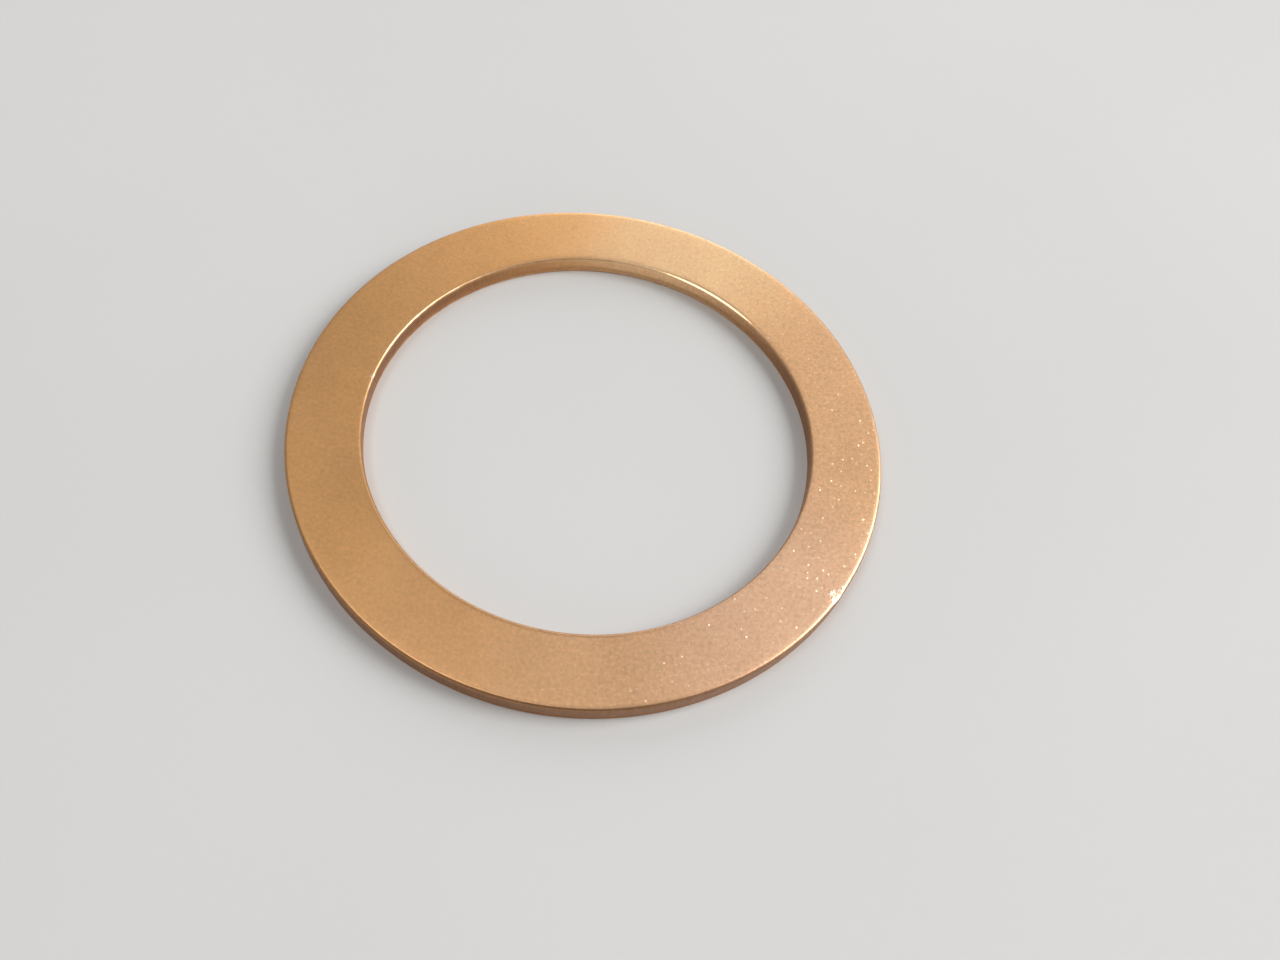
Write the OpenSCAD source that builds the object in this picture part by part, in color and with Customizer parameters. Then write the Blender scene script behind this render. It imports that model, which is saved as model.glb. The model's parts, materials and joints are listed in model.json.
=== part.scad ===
// Flat washer: one plain ring, blanked from copper sheet and tumbled so that its edges are broken.
// Millimetres, +Z up. The origin is the centre of the lower face, and the hole runs along Z.

/* [Ring] */
// Diameter of the hole
bore_d = 34; // [24:0.5:40]
// Diameter across the outside
outer_d = 45; // [43:0.5:60]
// Thickness of the sheet
thickness = 1.5; // [0.8:0.1:3]

/* [Edges] */
// Radius rolled onto the outer edge of the upper face
upper_outer_r = 0.25; // [0.05:0.05:0.4]
// Radius rolled onto the hole's edge of the upper face
upper_bore_r = 0.2; // [0.05:0.05:0.4]
// Radius worn onto both edges of the lower face, where the burr was
lower_r = 0.1; // [0.05:0.05:0.35]

/* [Hidden] */
copper = "#c98f62";
bore_r = bore_d / 2;
// Width of the ring, from the hole to the rim
ring_w = (outer_d - bore_d) / 2;
// How far a cut reaches past the metal
over = 1;
// Facets in a full circle: round the ring, and round its edges
ring_fn = 180;
edge_fn = 32;

// What rounding a corner to the radius r takes away. The corner is at the origin, with the
// section up and to the right of it.
module corner_waste(r) {
    difference() {
        translate([-over, -over])
            square(r + over);
        translate([r, r])
            circle(r = r, $fn = edge_fn);
    }
}

// The section of the ring, with its corner at the hole and the lower face on the origin.
module ring_section() {
    difference() {
        square([ring_w, thickness]);
        corner_waste(lower_r);
        translate([ring_w, 0])
            mirror([1, 0])
                corner_waste(lower_r);
        translate([0, thickness])
            mirror([0, 1])
                corner_waste(upper_bore_r);
        translate([ring_w, thickness])
            rotate(180)
                corner_waste(upper_outer_r);
    }
}

// The whole washer. It is a single piece of metal.
module washer() {
    color(copper)
        rotate_extrude($fn = ring_fn)
            translate([bore_r, 0])
                ring_section();
}

washer();
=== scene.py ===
"""A flat copper washer lying on a pale studio floor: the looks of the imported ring.

Everything is in metres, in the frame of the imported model: +Z is up, and the origin is the centre
of the washer's lower face. Sizes given in millimetres are multiplied by MM. The patterns in the
materials are in millimetres.
"""

import json
import math

import bpy
import numpy as np
from mathutils import Matrix, Vector, noise


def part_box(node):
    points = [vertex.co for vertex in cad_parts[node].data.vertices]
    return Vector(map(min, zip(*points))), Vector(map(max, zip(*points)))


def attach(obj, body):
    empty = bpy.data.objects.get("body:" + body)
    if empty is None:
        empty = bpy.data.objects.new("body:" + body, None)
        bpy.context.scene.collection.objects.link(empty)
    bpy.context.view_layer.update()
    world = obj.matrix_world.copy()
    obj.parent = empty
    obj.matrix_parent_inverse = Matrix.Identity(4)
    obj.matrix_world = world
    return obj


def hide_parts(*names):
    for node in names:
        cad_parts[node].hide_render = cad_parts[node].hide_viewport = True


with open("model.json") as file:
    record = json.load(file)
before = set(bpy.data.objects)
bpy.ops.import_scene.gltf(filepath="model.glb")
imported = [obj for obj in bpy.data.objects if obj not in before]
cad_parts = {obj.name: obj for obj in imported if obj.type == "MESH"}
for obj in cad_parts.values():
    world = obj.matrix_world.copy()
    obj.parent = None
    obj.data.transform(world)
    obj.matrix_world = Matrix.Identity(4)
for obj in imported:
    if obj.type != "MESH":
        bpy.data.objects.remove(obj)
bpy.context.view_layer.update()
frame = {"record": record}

MM = 0.001

# ---------------------------------------------------------------- sizes

WASHER = "washer"
_, WASHER_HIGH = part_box(WASHER)
OUTER_R = WASHER_HIGH.x
THICKNESS = WASHER_HIGH.z
BORE_R = next(m for m in frame["record"]["mounts"] if m["name"] == "bore")["dims"]["r_mm"] * MM
MIDDLE_R = (BORE_R + OUTER_R) / 2
UPPER_OUTER_R = 0.25 * MM
UPPER_BORE_R = 0.20 * MM
LOWER_R = 0.10 * MM

# How finely the ring is divided
AROUND = 1080
UPPER_STEPS = 28
LOWER_STEPS = 10
WALL_STEPS = 12
UPPER_CORNER_STEPS = 7
LOWER_CORNER_STEPS = 4

# The upper face rolls down by ROLL_DEPTH towards its edges, over ROLL_WIDTH
ROLL_DEPTH = 0.012 * MM
ROLL_WIDTH = 0.8 * MM

# The height at which the torn part of a wall ends and the smooth sheared part begins. That line
# wanders: how far, and in patches of what size. TEAR_BLUR is how far below it the change from
# sheared to torn begins and ends.
TEAR_HEIGHT = 0.58 * MM
TEAR_WANDER = [(0.10 * MM, 2.6 * MM), (0.05 * MM, 0.45 * MM)]
TEAR_BLUR = (-0.04 * MM, 0.05 * MM)

# How far the torn part stands back, with its grain
TEAR_DEPTH = 0.030 * MM
TEAR_GRAIN = 0.010 * MM
TEAR_GRAIN_SIZE = 0.26 * MM
TEAR_STRETCH = 1.3

# The upright lines on the sheared part: their depth, their widths and how far they are drawn out
SHEAR_LINES = 0.003 * MM
SHEAR_SIZES = (0.30 * MM, 0.9 * MM)
SHEAR_STRETCH = 14.0

# How far from an edge the metal is rubbed bright
WEAR_WIDTH = 0.28 * MM

# Where the edges are rubbed: the amount, the direction in degrees from +X and the reach to
# either side, for the rim and for the edge of the hole, and the amount everywhere. The rubbing is
# partly real wear and partly a painted highlight, strongest where the lamps catch the edges.
RIM_RUB_AND_HIGHLIGHT = [(1.0, -2, 54)]
HOLE_RUB_AND_HIGHLIGHT = [(0.85, 150, 68), (0.85, 78, 52)]
RIM_BASE, HOLE_BASE = 0.08, 0.05

# The rubbing is patchy: its mean, then the strength and the size of the patches
RUB_MEAN = 0.7
RUB_PATCHES = [(0.6, 1.6 * MM), (0.6, 0.5 * MM)]

# Where painted shade creeps further over the upper edges, darkening them like the walls, and how much
# further
SHADED_FRONT, SHADED_FRONT_REACH, SHADE_CREEP = -95, 75, 0.7

# Where the wall of the hole is lighter, as painted light on its lit back, by how much, and how much
# less in its torn part
LIT_HOLE_WALL, LIT_HOLE_WALL_REACH = 80, 65
PAINTED_LIGHT, TORN_LESS = 0.95, 0.35

# Knocks on the upper edges: the direction in degrees from +X, the edge's radius, the length
# along the edge, the width on the face and the depth at the edge
KNOCKS = [
    (-27.4, OUTER_R, 1.10 * MM, 0.95 * MM, 0.140 * MM),
    (-28.8, OUTER_R, 0.90 * MM, 0.55 * MM, 0.110 * MM),
    (-26.2, OUTER_R, 0.70 * MM, 0.50 * MM, 0.090 * MM),
    (-31.5, OUTER_R, 1.40 * MM, 0.34 * MM, 0.060 * MM),
    (-34.5, OUTER_R, 0.90 * MM, 0.30 * MM, 0.045 * MM),
    (-20.0, OUTER_R, 0.60 * MM, 0.26 * MM, 0.035 * MM),
    (65.0, BORE_R, 15.0 * MM, 0.24 * MM, 0.115 * MM),
    (177.5, BORE_R, 0.50 * MM, 0.28 * MM, 0.110 * MM),
    (172.0, BORE_R, 0.45 * MM, 0.20 * MM, 0.070 * MM),
    (6.0, BORE_R, 0.90 * MM, 0.20 * MM, 0.045 * MM),
    (12.0, BORE_R, 0.50 * MM, 0.22 * MM, 0.050 * MM),
]
# Knocks longer than this are scrapes, with straighter sides
SHORT = 1.2 * MM
# How ragged the side of a short knock is, as a part of its width, and how rough its bottom is
RAGGED, RAGGED_SIZE = 0.30, 0.35 * MM
BOTTOM, BOTTOM_SIZE = 0.004 * MM, 0.20 * MM
# The depth from which struck metal shows at full strength
FULLY_STRUCK = 0.012 * MM

# The small knocks are drawn at random between these sizes, in millimetres
SMALL_KNOCKS = 26
SMALL_KNOCK_SEED = 5
SMALL_LENGTH = (0.20, 0.60)
SMALL_WIDTH = (0.10, 0.24)
SMALL_DEPTH = (0.010, 0.035)

# ---------------------------------------------------------------- the view

# Where the middle of the picture falls on the upper face, in outer radii
AIM = (0.197, -0.172)
# From there to the camera, in outer radii
DISTANCE = 3.628
ELEVATION = math.radians(57.8)
ROLL = math.radians(10.95)
LENS_MM = 31.0
NEAR_CLIP = 0.001

# The square lights: azimuth and elevation in degrees, the side in metres and the power in watts.
# Azimuth 0 is behind the washer, and 90 is on its right.
LIGHTS = {
    "window": (1, 24, 0.80, 4.7),
    "key": (73, 38, 1.00, 18.8),
    "fill": (-103, 70, 0.60, 4.5),
}
LIGHT_DISTANCE = 1.5

# The studio's walls give PALE_WALL up to the rise LOW_RISE, and fade to DIM_WALL at HIGH_RISE
PALE_WALL, DIM_WALL = 0.68, 0.17
LOW_RISE, HIGH_RISE = 0.12, 0.50

FLOOR_HALF = 3.0


# ---------------------------------------------------------------- the ring's mesh

def corner(centre_r, centre_z, radius, start, steps):
    """The points of a quarter circle in the section, turning clockwise from the angle start."""
    turn = np.radians(start - np.linspace(0, 90, steps + 1))
    return centre_r + radius * np.cos(turn), centre_z + radius * np.sin(turn)


def between(a, b, steps):
    """The points strictly between a and b."""
    return np.linspace(a, b, steps + 1)[1:-1]


def section():
    """The closed outline of the ring's section, as arrays of radius and height, from the upper
    corner of the hole out over the upper face and back along the lower one."""
    high, low = UPPER_CORNER_STEPS, LOWER_CORNER_STEPS
    bore_up = corner(BORE_R + UPPER_BORE_R, THICKNESS - UPPER_BORE_R, UPPER_BORE_R, 180, high)
    rim_up = corner(OUTER_R - UPPER_OUTER_R, THICKNESS - UPPER_OUTER_R, UPPER_OUTER_R, 90, high)
    rim_low = corner(OUTER_R - LOWER_R, LOWER_R, LOWER_R, 0, low)
    bore_low = corner(BORE_R + LOWER_R, LOWER_R, LOWER_R, -90, low)
    corners = [bore_up, rim_up, rim_low, bore_low]
    steps = [UPPER_STEPS, WALL_STEPS, LOWER_STEPS, WALL_STEPS]
    radii, heights = [], []
    for here, after, count in zip(corners, corners[1:] + corners[:1], steps):
        radii += [here[0], between(here[0][-1], after[0][0], count)]
        heights += [here[1], between(here[1][-1], after[1][0], count)]
    return np.concatenate(radii), np.concatenate(heights)


def smooth(low, high, value):
    """0 below low and 1 above high, with a soft change between them."""
    part = np.clip((value - low) / (high - low), 0, 1)
    return part * part * (3 - 2 * part)


def away(angle, degrees):
    """The turn in radians from a direction to each point, between -pi and pi."""
    return (angle - math.radians(degrees) + math.pi) % (2 * math.pi) - math.pi


def beside(angle, degrees, reach):
    """1 in a direction, falling softly to 0 at reach degrees to either side."""
    return 1 - smooth(0, math.radians(reach), np.abs(away(angle, degrees)))


def cloud(angle, radius, height, size, stretch=1.0):
    """Cloudy noise from -1 to 1 with patches about size across, drawn out upwards by stretch."""
    points = np.stack([radius * np.cos(angle), radius * np.sin(angle), height / stretch], axis=-1)
    points = points.reshape(-1, 3) / size
    return np.array([noise.noise(point) for point in points.tolist()]).reshape(angle.shape)


def outer_half(radius):
    """Whether each point is nearer the rim than the hole."""
    return radius > MIDDLE_R


def wall_distance(radius):
    """How far each point is from the nearer of the two walls."""
    return np.minimum(radius - BORE_R, OUTER_R - radius)


def torn_part(angle, radius, height):
    """1 on the lower part of the walls, which the punch tore, and 0 on the part it sheared."""
    line = TEAR_HEIGHT
    for wander, size in TEAR_WANDER:
        line = line + wander * cloud(angle, radius, 0 * height, size)
    return smooth(*TEAR_BLUR, line - height)


def wall_relief(angle, radius, height):
    """How far the walls stand back into the metal: fine upright lines above, grain below."""
    fine, broad = (cloud(angle, radius, height, size, SHEAR_STRETCH) for size in SHEAR_SIZES)
    grain = cloud(angle, radius, height, TEAR_GRAIN_SIZE, TEAR_STRETCH)
    torn = torn_part(angle, radius, height)
    sheared = (1 - torn) * SHEAR_LINES * (1 + fine + broad)
    depth = sheared + torn * (TEAR_DEPTH + TEAR_GRAIN * grain)
    upright = smooth(0, LOWER_R, LOWER_R - wall_distance(radius))
    return depth * upright * smooth(0, 2 * LOWER_R, height)


def rub_and_highlight(angle, radius, height):
    """How brightly each point is rubbed, from 0 to 1, in patches along the edges: partly real wear
    and partly a painted highlight, strongest where the lamps catch the edges.
    """
    sharp = np.maximum(wall_distance(radius), np.minimum(height, THICKNESS - height))
    edge = np.clip(1 - sharp / WEAR_WIDTH, 0, 1)
    rim = RIM_BASE + sum(amount * beside(angle, *place) for amount, *place in RIM_RUB_AND_HIGHLIGHT)
    hole = HOLE_BASE + sum(amount * beside(angle, *place) for amount, *place in HOLE_RUB_AND_HIGHLIGHT)
    patchy = RUB_MEAN
    for strength, size in RUB_PATCHES:
        patchy = patchy + strength * cloud(angle, radius, height, size)
    return np.clip(edge * np.where(outer_half(radius), rim, hole) * patchy, 0, 1)


def wall_tone_and_shade(angle, radius, torn):
    """How far each point takes the walls' dark tone, which is partly the walls' own brown and partly
    painted shade.
    It fades out over the rounded upper edges, later at the front, where the extra reach is painted
    shade, and the wall of the hole is lighter at the back, where that is painted light."""
    reach = np.where(outer_half(radius), UPPER_OUTER_R, UPPER_BORE_R)
    # The further reach at the front is painted shade
    reach = reach * (1 + SHADE_CREEP * beside(angle, SHADED_FRONT, SHADED_FRONT_REACH))
    # The wall of the hole is lighter at the back: painted light
    painted_light = (PAINTED_LIGHT - TORN_LESS * torn) * beside(angle, LIT_HOLE_WALL, LIT_HOLE_WALL_REACH)
    painted_light = np.where(outer_half(radius), 0, painted_light)
    return (1 - smooth(0, reach, wall_distance(radius))) * (1 - painted_light)


def knocks():
    """The named knocks, then many small ones in places drawn at random."""
    draw = np.random.default_rng(SMALL_KNOCK_SEED)
    small = []
    for number in range(SMALL_KNOCKS):
        edge = BORE_R if number % 2 else OUTER_R
        length = draw.uniform(*SMALL_LENGTH) * MM
        width = draw.uniform(*SMALL_WIDTH) * MM
        where = draw.uniform(-180, 180)
        small.append((where, edge, length, width, draw.uniform(*SMALL_DEPTH) * MM))
    return KNOCKS + small


def knock_down(angle, radius, height, wear_and_highlight):
    """Flattens the upper edges where they were knocked. Short knocks bruise the metal, and long
    scrapes rub it bright. Gives the new heights, the wear with its painted highlight, and the bruises
    from 0 to 1."""
    bruise = np.zeros(angle.shape)
    ragged = RAGGED * cloud(angle, radius, height, RAGGED_SIZE)
    rough = BOTTOM * cloud(angle, radius, height, BOTTOM_SIZE)
    for where, edge, length, width, depth in knocks():
        short = min(1, SHORT / length)
        along = np.abs(away(angle, where) * edge / (length / 2))
        inwards = np.abs(radius - edge) / width + ragged * short
        level = THICKNESS - depth * (1 - inwards - along ** 3) + rough
        struck = (along < 1) & (inwards < 1) & (height > THICKNESS / 2) & (level < height)
        hit = np.where(struck, smooth(0, FULLY_STRUCK, height - level), 0)
        bruise = np.maximum(bruise, hit * short ** 2)
        wear_and_highlight = np.maximum(wear_and_highlight, hit * (1 - short ** 2))
        height = np.where(struck, level, height)
    return height, wear_and_highlight, bruise


def write_attribute(mesh, name, values):
    """Stores one number for each vertex, for the materials to read."""
    layer = mesh.attributes.new(name, "FLOAT", "POINT")
    layer.data.foreach_set("value", values.astype(np.float32).ravel())


def swept_faces(count):
    """The four-sided faces of the ring: count of them around the section, at each turn."""
    index = np.arange(AROUND * count).reshape(AROUND, count)
    after = np.roll(index, -1, axis=0)
    sides = [index, np.roll(index, -1, axis=1), np.roll(after, -1, axis=1), after]
    return np.stack(sides, axis=-1).reshape(-1, 4)


def ring_mesh():
    """The ring, swept round from its section, with the marks of the punch and of use, and the masks
    of its painted highlight and painted shade.
    """
    radii, heights = section()
    turn = np.linspace(0, 2 * math.pi, AROUND, endpoint=False)
    angle, radius = np.meshgrid(turn, radii, indexing="ij")
    height = np.broadcast_to(heights, angle.shape)

    torn = torn_part(angle, radius, height) * (wall_distance(radius) < LOWER_R)
    # The walls' dark tone: partly painted shade, reaching further at the front, and painted light on
    # the back of the hole's wall
    wall_and_shade = wall_tone_and_shade(angle, radius, torn)
    # Rubbed edges, partly real wear and partly a painted highlight
    wear_and_highlight = rub_and_highlight(angle, radius, height)
    inwards = np.where(outer_half(radius), -1, 1)
    relief = inwards * wall_relief(angle, radius, height)
    rolled = ROLL_DEPTH * (1 - smooth(0, ROLL_WIDTH, wall_distance(radius))) ** 2
    height = height - rolled * smooth(THICKNESS / 2, THICKNESS, height)
    height, wear_and_highlight, bruise = knock_down(angle, radius, height, wear_and_highlight)
    radius = radius + relief

    points = np.stack([radius * np.cos(angle), radius * np.sin(angle), height], axis=-1)
    mesh = bpy.data.meshes.new("copper_ring")
    mesh.from_pydata(points.reshape(-1, 3).tolist(), [], swept_faces(len(radii)).tolist())
    mesh.shade_smooth()
    for name, values in (("wear_and_highlight", wear_and_highlight), ("wall_and_shade", wall_and_shade), ("torn", torn), ("bruise", bruise)):
        write_attribute(mesh, name, values)
    mesh.update()
    return mesh


# ---------------------------------------------------------------- node helpers

# Nearly all of the cloudy noise of a texture node lies between these
CLOUD_LOW, CLOUD_HIGH = 0.3, 0.7


def new_material(name):
    """An empty node material: itself, its tree, and its shader joined to the output."""
    material = bpy.data.materials.new(name)
    material.use_nodes = True
    return material, material.node_tree, material.node_tree.nodes["Principled BSDF"]


def put(tree, kind, inputs, **settings):
    """Adds a node. inputs maps a socket's name or number to a value or to another node's output."""
    node = tree.nodes.new(kind)
    for name, value in settings.items():
        setattr(node, name, value)
    for name, value in inputs.items():
        if isinstance(value, bpy.types.NodeSocket):
            tree.links.new(value, node.inputs[name])
        else:
            node.inputs[name].default_value = value
    return node


def maths(tree, operation, *values):
    """The result of a Math node."""
    return put(tree, "ShaderNodeMath", dict(enumerate(values)), operation=operation).outputs[0]


def vector_maths(tree, operation, *values):
    """The vector that a Vector Math node gives."""
    node = put(tree, "ShaderNodeVectorMath", dict(enumerate(values)), operation=operation)
    return node.outputs["Vector"]


def scaled(tree, vector, factor):
    """A vector multiplied by a number."""
    sockets = {0: vector, "Scale": factor}
    return put(tree, "ShaderNodeVectorMath", sockets, operation="SCALE").outputs["Vector"]


def spread(tree, value, low, high, to_low=0.0, to_high=1.0):
    """value taken smoothly from low..high to to_low..to_high, and held there past the ends."""
    sockets = {"Value": value, "From Min": low, "From Max": high, "To Min": to_low, "To Max": to_high}
    return put(tree, "ShaderNodeMapRange", sockets, interpolation_type="SMOOTHSTEP").outputs[0]


def swing(tree, pattern, low, high):
    """Cloudy noise taken to low..high."""
    return spread(tree, pattern, CLOUD_LOW, CLOUD_HIGH, low, high)


def blend_colour(tree, factor, a, b, mode="MIX"):
    """Colour a where factor is 0 and b where it is 1, or their product in the mode MULTIPLY."""
    sockets = {0: factor, 6: a, 7: b}
    return put(tree, "ShaderNodeMix", sockets, data_type="RGBA", blend_type=mode).outputs[2]


def blend_value(tree, factor, a, b):
    """The number a where factor is 0 and b where it is 1."""
    return put(tree, "ShaderNodeMix", {0: factor, 2: a, 3: b}, data_type="FLOAT").outputs[0]


def millimetres(tree):
    """The place on the object in millimetres."""
    place = put(tree, "ShaderNodeTexCoord", {}).outputs["Object"]
    return vector_maths(tree, "MULTIPLY", place, (1 / MM, 1 / MM, 1 / MM))


def clouds(tree, place, size, detail=2.0):
    """Cloudy noise around 0.5 whose patches are about size across."""
    sockets = {"Vector": place, "Scale": 1 / size, "Detail": detail}
    return put(tree, "ShaderNodeTexNoise", sockets).outputs["Fac"]


def cloud_vector(tree, place, size):
    """Three channels of cloudy noise, each from -0.5 to 0.5."""
    sockets = {"Vector": place, "Scale": 1 / size, "Detail": 1.0}
    three = put(tree, "ShaderNodeTexNoise", sockets).outputs["Color"]
    return vector_maths(tree, "SUBTRACT", three, (0.5, 0.5, 0.5))


def cells(tree, place, size):
    """A Voronoi pattern of cells about size across: its distance and colour outputs."""
    node = put(tree, "ShaderNodeTexVoronoi", {"Vector": place, "Scale": 1 / size})
    return node.outputs["Distance"], node.outputs["Color"]


def attribute(tree, name):
    """A number stored on the mesh."""
    return put(tree, "ShaderNodeAttribute", {}, attribute_name=name).outputs["Fac"]


def first(tree, colour):
    """The red channel of a random colour, as a random number."""
    return put(tree, "ShaderNodeSeparateColor", {0: colour}).outputs[0]


def across(tree, place, direction, low, high):
    """0 on one side of the ring and 1 on the other, rising along a direction."""
    towards = put(tree, "ShaderNodeVectorMath", {0: place, 1: direction}, operation="DOT_PRODUCT")
    return spread(tree, towards.outputs["Value"], low, high)


def distance(tree, place, centre):
    """How far each place is from a centre."""
    apart = put(tree, "ShaderNodeVectorMath", {0: place, 1: centre}, operation="DISTANCE")
    return apart.outputs["Value"]


# ---------------------------------------------------------------- materials

# Copper in its tones, as linear colours
GOLDEN = (0.92, 0.50, 0.204, 1)
AMBER = (0.905, 0.535, 0.29, 1)
# PINK and PALE tint the face partly as painted highlight and painted sheen
PINK = (0.975, 0.60, 0.385, 1)
PALE = (0.98, 0.637, 0.35, 1)
# POLISHED_AND_HIGHLIT is partly a painted highlight on the rubbed edges
POLISHED_AND_HIGHLIT = (0.96, 0.64, 0.38, 1)
SCRAPED = (0.92, 0.61, 0.44, 1)
# FLECK_GLINT is a painted glint
FLECK_GLINT = (1.0, 0.78, 0.56, 1)
STAIN = (0.62, 0.32, 0.15, 1)
# BROWN is dark partly as painted shade on the walls
BROWN = (0.22, 0.095, 0.042, 1)
TORN = (0.42, 0.205, 0.10, 1)

# The radius of the ring in millimetres, the direction in which its tone drifts, partly the copper's
# own tone and partly painted sheen, and the direction in which its grain and flecks grow stronger as
# painted glints
REACH = OUTER_R / MM
TONE_AND_SHEEN_DRIFT = (0.95, -0.31, 0.0)
GLINT_SIDE = (0.995, -0.10, 0.0)
GLINT_SIDE_FROM = -0.6 * REACH

# Where two soft patches of another tone lie on the face, in millimetres, and how far they reach. They
# are partly the copper's own tone and partly painted light: a painted highlight in front on the right
# and a painted sheen at the back.
TONE_AND_HIGHLIGHT_SPOT = (15.5, -12.0, 1.5)
TONE_AND_SHEEN_SPOT = (4.5, 19.0, 1.5)
PATCH_REACH = 17.0

# The size and the strength of the cloudy patches that blur the change from tone to tone, and the
# size and the depth of the mottle. The sizes of patterns are all in millimetres.
TONE_SIZE, TONE_STRENGTH = 9.0, 0.6
MOTTLE = [(3.2, 0.020), (0.9, 0.012)]

# The sand and the brighter grains: their size, and their strength on the left and on the right. Their
# greater strength on the right is painted glints, where the lamps catch the grain.
# Grains are bright where the noise passes BRIGHT_FROM, and fully so from BRIGHT_TO.
SAND_SIZE, SAND_LEFT, SAND_RIGHT = 0.30, 0.34, 0.56
BRIGHT_SIZE, BRIGHT_LEFT, BRIGHT_RIGHT = 0.18, 0.06, 0.26
BRIGHT_FROM, BRIGHT_TO = 0.56, 0.74

# The flecks sit in cells, bent by soft noise. Each cell has a random number, and shows a fleck
# where that is above RARE_LEFT or RARE_RIGHT, at full strength from RARE_CHANGE above it. The flecks
# gather on the right as painted glints.
CELL_SIZE, BEND_SIZE, BEND = 0.38, 0.3, 0.16
RARE_LEFT, RARE_RIGHT, RARE_CHANGE = 0.92, 0.69, 0.25
# A fleck's solid middle and its end, as parts of a cell, then its colour, a painted glint, and its
# height and lean
FLECK_MIDDLE, FLECK_END = 0.06, 0.28
FLECK_GLINT_TINT = 0.9
FLECK_HEIGHT = 0.5
FLECK_LEAN = (0.19, -0.07, 0.0)

# Stains show faintly where the noise passes STAIN_FROM
STAIN_SIZE, STAIN_FROM, STAIN_TO, STAIN_TINT = 1.1, 0.66, 0.76, 0.22

# The walls: how strongly they cover the face's tone, with a dark brown that is partly painted shade,
# and their streaks and mottle
WALL_TINT = 0.85
STREAK_SIZE, STREAK_SQUASH = 0.16, (1, 1, 0.06)
GRAIN_SIZE = 0.16
WALL_FROM, WALL_TO = 0.35, 0.65
STREAK_TINT, MOTTLE_TINT = 0.35, 0.45

# Roughness
FACE_PATCH, FACE_SMOOTH, FACE_ROUGH = 5.0, 0.425, 0.455
SHEARED_ROUGH, TORN_ROUGH = 0.38, 0.55
RUBBED_ROUGH, BRUISED_ROUGH = 0.30, 0.40

# Fine relief: its depth, its size on the face, how much more there is where the metal is bruised
# or torn, and the size and lean of the crystals
RELIEF = 0.007 * MM
FACE_RELIEF_SIZE = 0.22
BRUISED_MORE, TORN_MORE = 5.0, 3.0
CRYSTAL_SIZE, CRYSTAL_LEAN = 0.18, 0.018

# The floor: its two tones as linear colours, their patches, its roughness and its relief
FLOOR_DULL = (0.715, 0.706, 0.690, 1)
FLOOR_CLEAN = (0.735, 0.726, 0.710, 1)
FLOOR_PATCH = 60.0
FLOOR_GLOSS_SIZE, FLOOR_SMOOTH, FLOOR_ROUGH = 0.8, 0.66, 0.74
FLOOR_GRAIN_SIZE, FLOOR_RELIEF = 0.5, 0.006 * MM


def face_grain(tree, place, glint_side):
    """A factor around 1: fine sand with brighter grains, stronger towards the right side, where the
    extra contrast and the brighter grains are painted glints.
    """
    sand = maths(tree, "SUBTRACT", clouds(tree, place, SAND_SIZE, detail=3.0), 0.5)
    sand = maths(tree, "MULTIPLY", sand, blend_value(tree, glint_side, SAND_LEFT, SAND_RIGHT))
    bright = spread(tree, clouds(tree, place, BRIGHT_SIZE, detail=1.0), BRIGHT_FROM, BRIGHT_TO)
    bright = maths(tree, "MULTIPLY", bright, blend_value(tree, glint_side, BRIGHT_LEFT, BRIGHT_RIGHT))
    return maths(tree, "ADD", maths(tree, "ADD", sand, bright), 1.0)


def face_colour(tree, place, glint_side):
    """Golden on the left, amber on the right, pink in front of that and pale at the back, in broad
    soft patches, with a faint mottle and a fine grain.
    The drift and the patches are partly the copper's own tone and partly painted light: painted sheen
    towards the right, a painted highlight in the pink patch and a painted sheen in the pale one."""
    patches = maths(tree, "SUBTRACT", clouds(tree, place, TONE_SIZE), 0.5)
    patches = maths(tree, "MULTIPLY", patches, TONE_STRENGTH)
    # The drift from golden to amber is partly the copper's own tone and partly painted sheen towards
    # the right
    drift = maths(tree, "ADD", across(tree, place, TONE_AND_SHEEN_DRIFT, -REACH, REACH), patches)
    colour = blend_colour(tree, spread(tree, drift, 0.0, 1.0), GOLDEN, AMBER)
    # The pink patch is partly a painted highlight and the pale patch partly a painted sheen
    for centre, tone in ((TONE_AND_HIGHLIGHT_SPOT, PINK), (TONE_AND_SHEEN_SPOT, PALE)):
        patch = spread(tree, distance(tree, place, centre), 0.0, PATCH_REACH, 1.0, 0.0)
        patch = spread(tree, maths(tree, "ADD", patch, patches), 0.0, 1.0)
        colour = blend_colour(tree, patch, colour, tone)
    for size, depth in MOTTLE:
        mottle = swing(tree, clouds(tree, place, size), 1 - depth, 1 + depth)
        colour = blend_colour(tree, 1.0, colour, mottle, "MULTIPLY")
    return blend_colour(tree, 1.0, colour, face_grain(tree, place, glint_side), "MULTIPLY")


def flecks(tree, place, glint_side):
    """Tiny raised facets whose pale colour is a painted glint, sparse on the left and closer together
    on the right, where the painted glints gather.
    """
    bent = scaled(tree, cloud_vector(tree, place, BEND_SIZE), BEND)
    near, which = cells(tree, vector_maths(tree, "ADD", place, bent), CELL_SIZE)
    rare = blend_value(tree, glint_side, RARE_LEFT, RARE_RIGHT)
    chosen = spread(tree, first(tree, which), rare, maths(tree, "ADD", rare, RARE_CHANGE))
    spot = spread(tree, near, FLECK_MIDDLE, FLECK_END, 1.0, 0.0)
    return maths(tree, "MULTIPLY", spot, chosen)


def stains(tree, place):
    """A few faint dark blotches, from 0 to STAIN_TINT."""
    pattern = clouds(tree, place, STAIN_SIZE, detail=4.0)
    return spread(tree, pattern, STAIN_FROM, STAIN_TO, 0.0, STAIN_TINT)


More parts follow.
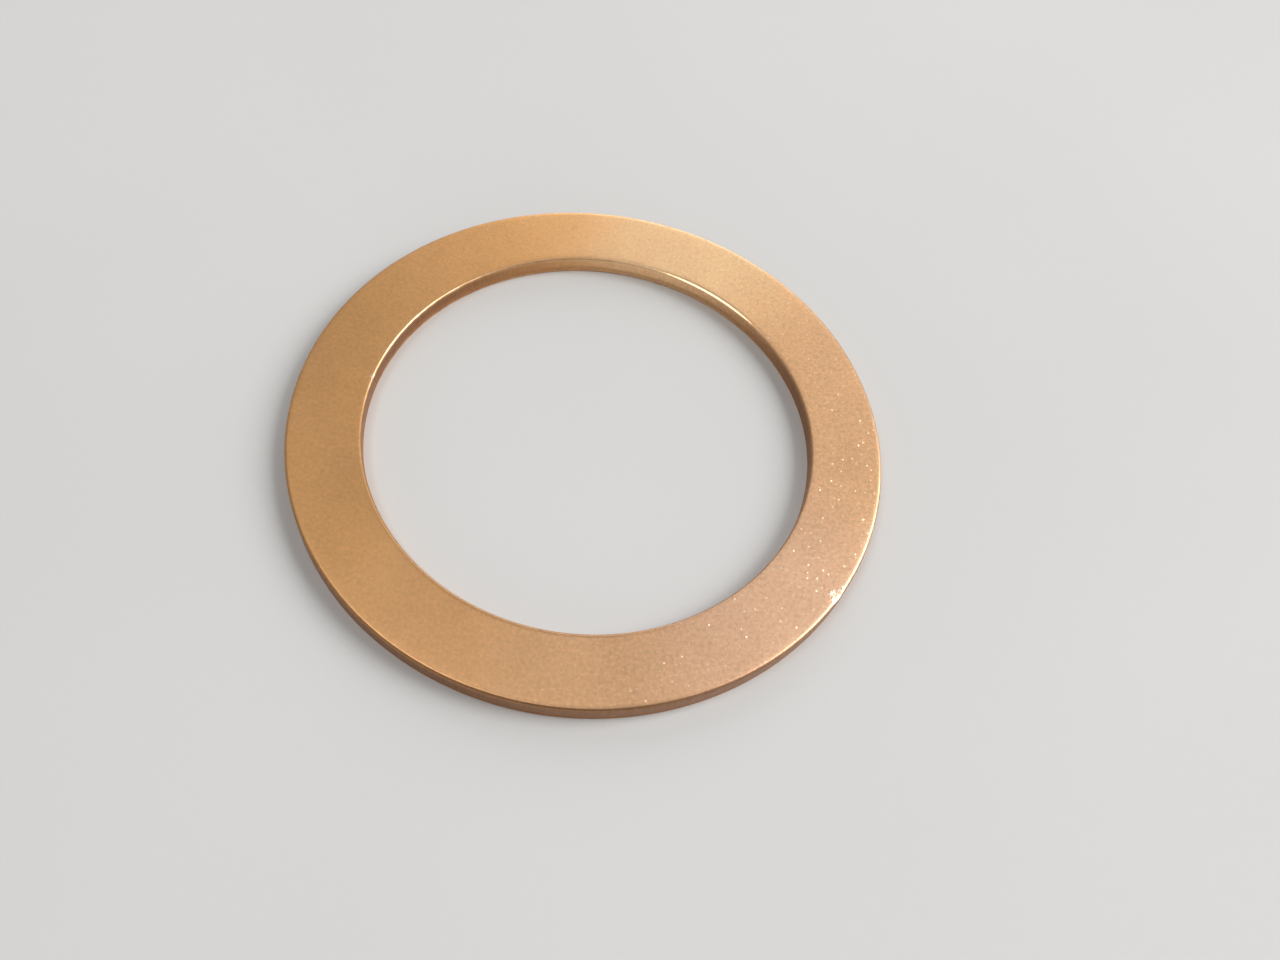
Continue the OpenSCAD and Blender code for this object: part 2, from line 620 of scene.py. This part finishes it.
def wall_colour(tree, upright, grain, torn):
    """Brown walls, streaked upright above and mottled below. The deep brown is partly painted shade.
    """
    streaks = spread(tree, upright, WALL_FROM, WALL_TO, 0.0, STREAK_TINT)
    mottle = spread(tree, grain, WALL_FROM, WALL_TO, 0.0, MOTTLE_TINT)
    sheared = blend_colour(tree, streaks, BROWN, TORN)
    rough = blend_colour(tree, mottle, TORN, BROWN)
    return blend_colour(tree, torn, sheared, rough)


def copper_roughness(tree, place, marks):
    """Satin on the face, rougher where torn and smoother where sheared or rubbed."""
    face = swing(tree, clouds(tree, place, FACE_PATCH, detail=3.0), FACE_SMOOTH, FACE_ROUGH)
    punched = blend_value(tree, marks["torn"], SHEARED_ROUGH, TORN_ROUGH)
    roughness = blend_value(tree, marks["wall_and_shade"], face, punched)
    roughness = blend_value(tree, marks["wear_and_highlight"], roughness, RUBBED_ROUGH)
    return blend_value(tree, marks["bruise"], roughness, BRUISED_ROUGH)


def copper_normal(tree, place, marks, fleck, upright, grain):
    """Fine relief, with flecks and crystals that lean out of the surface."""
    raised = maths(tree, "MULTIPLY", fleck, FLECK_HEIGHT)
    fine = maths(tree, "ADD", clouds(tree, place, FACE_RELIEF_SIZE, detail=3.0), raised)
    rough = maths(tree, "MULTIPLY", grain, BRUISED_MORE)
    fine = maths(tree, "ADD", fine, maths(tree, "MULTIPLY", marks["bruise"], rough))
    ragged = maths(tree, "MULTIPLY", grain, TORN_MORE)
    punched = blend_value(tree, marks["torn"], upright, ragged)
    relief = blend_value(tree, marks["wall_and_shade"], fine, punched)
    bump = put(tree, "ShaderNodeBump", {"Height": relief, "Distance": RELIEF, "Strength": 1.0})
    _, crystal = cells(tree, place, CRYSTAL_SIZE)
    tilt = vector_maths(tree, "SUBTRACT", crystal, (0.5, 0.5, 0.5))
    tilt = scaled(tree, tilt, CRYSTAL_LEAN)
    tilt = vector_maths(tree, "ADD", tilt, scaled(tree, FLECK_LEAN, fleck))
    tilted = vector_maths(tree, "ADD", bump.outputs["Normal"], tilt)
    return vector_maths(tree, "NORMALIZE", tilted)


def copper_material():
    """Bare annealed copper: a satin face of fine grain, rubbed edges and punched walls, with painted
    sheen, highlights, glints and shade laid into its colour.
    """
    material, tree, shader = new_material("copper")
    place = millimetres(tree)
    marks = {name: attribute(tree, name) for name in ("wear_and_highlight", "wall_and_shade", "torn", "bruise")}
    # Stronger towards the right: the side where the painted glints gather
    glint_side = across(tree, place, GLINT_SIDE, GLINT_SIDE_FROM, REACH)
    fleck = flecks(tree, place, glint_side)
    squashed = vector_maths(tree, "MULTIPLY", place, STREAK_SQUASH)
    upright = clouds(tree, squashed, STREAK_SIZE, detail=3.0)
    grain = clouds(tree, place, GRAIN_SIZE)

    colour = face_colour(tree, place, glint_side)
    colour = blend_colour(tree, stains(tree, place), colour, STAIN)
    # The flecks' pale colour is a painted glint
    colour = blend_colour(tree, maths(tree, "MULTIPLY", fleck, FLECK_GLINT_TINT), colour, FLECK_GLINT)
    dark = wall_colour(tree, upright, grain, marks["torn"])
    # The walls' dark tone is partly painted shade, and spreads over the front edges as painted shade
    colour = blend_colour(tree, maths(tree, "MULTIPLY", marks["wall_and_shade"], WALL_TINT), colour, dark)
    # The rubbed edges' pale colour is partly a painted highlight
    colour = blend_colour(tree, marks["wear_and_highlight"], colour, POLISHED_AND_HIGHLIT)
    colour = blend_colour(tree, marks["bruise"], colour, SCRAPED)

    normal = copper_normal(tree, place, marks, fleck, upright, grain)
    shader.inputs["Metallic"].default_value = 1.0
    tree.links.new(colour, shader.inputs["Base Color"])
    tree.links.new(copper_roughness(tree, place, marks), shader.inputs["Roughness"])
    tree.links.new(normal, shader.inputs["Normal"])
    return material


def floor_material():
    """Smooth pale board, almost plain."""
    material, tree, shader = new_material("floor")
    place = millimetres(tree)
    cloudy = swing(tree, clouds(tree, place, FLOOR_PATCH), 0.0, 1.0)
    colour = blend_colour(tree, cloudy, FLOOR_DULL, FLOOR_CLEAN)
    roughness = swing(tree, clouds(tree, place, FLOOR_GLOSS_SIZE), FLOOR_SMOOTH, FLOOR_ROUGH)
    grain = clouds(tree, place, FLOOR_GRAIN_SIZE, detail=3.0)
    bump = put(tree, "ShaderNodeBump", {"Height": grain, "Distance": FLOOR_RELIEF})
    tree.links.new(colour, shader.inputs["Base Color"])
    tree.links.new(roughness, shader.inputs["Roughness"])
    tree.links.new(bump.outputs["Normal"], shader.inputs["Normal"])
    return material


# ---------------------------------------------------------------- pieces

def show(name, data):
    """Links a new object to the scene."""
    piece = bpy.data.objects.new(name, data)
    bpy.context.scene.collection.objects.link(piece)
    return piece


def build_ring():
    """The whole washer, which is one piece."""
    mesh = ring_mesh()
    mesh.materials.append(copper_material())
    ring = show("copper_ring", mesh)
    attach(ring, "root")
    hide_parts(WASHER)


def build_floor():
    """The floor that the washer lies on."""
    corners = [(-1, -1), (1, -1), (1, 1), (-1, 1)]
    mesh = bpy.data.meshes.new("floor")
    mesh.from_pydata([(x * FLOOR_HALF, y * FLOOR_HALF, 0) for x, y in corners], [], [(0, 1, 2, 3)])
    mesh.materials.append(floor_material())
    show("floor", mesh)


def build_camera():
    """The camera, looking down at the washer from the front."""
    data = bpy.data.cameras.new("camera")
    data.lens = LENS_MM
    data.clip_start = NEAR_CLIP
    camera = show("camera", data)
    turn = Matrix.Rotation(math.pi / 2 - ELEVATION, 4, "X") @ Matrix.Rotation(ROLL, 4, "Z")
    aim = Vector((AIM[0] * OUTER_R, AIM[1] * OUTER_R, THICKNESS))
    back = Vector((0, -math.cos(ELEVATION), math.sin(ELEVATION)))
    camera.matrix_world = Matrix.Translation(aim + back * DISTANCE * OUTER_R) @ turn
    bpy.context.scene.camera = camera


def build_world():
    """A dim studio whose walls are paler towards the floor, all round."""
    world = bpy.data.worlds.new("studio")
    world.use_nodes = True
    tree = world.node_tree
    direction = put(tree, "ShaderNodeTexCoord", {}).outputs["Generated"]
    rise = put(tree, "ShaderNodeSeparateXYZ", {0: direction}).outputs["Z"]
    strength = spread(tree, rise, LOW_RISE, HIGH_RISE, PALE_WALL, DIM_WALL)
    background = tree.nodes["Background"]
    background.inputs["Color"].default_value = (1, 1, 1, 1)
    tree.links.new(strength, background.inputs["Strength"])
    bpy.context.scene.world = world


def build_light(name, azimuth, elevation, size, watts):
    """A soft square light that faces the washer."""
    data = bpy.data.lights.new(name, "AREA")
    data.shape = "SQUARE"
    data.size = size
    data.energy = watts
    light = show(name, data)
    a, e = math.radians(azimuth), math.radians(elevation)
    out = Vector((math.sin(a) * math.cos(e), math.cos(a) * math.cos(e), math.sin(e)))
    light.location = out * LIGHT_DISTANCE
    light.rotation_mode = "QUATERNION"
    light.rotation_quaternion = out.to_track_quat("Z", "Y")
    light.visible_camera = False


bpy.context.scene.view_settings.view_transform = "Standard"
build_ring()
build_floor()
build_camera()
build_world()
for light_name, settings in LIGHTS.items():
    build_light(light_name, *settings)
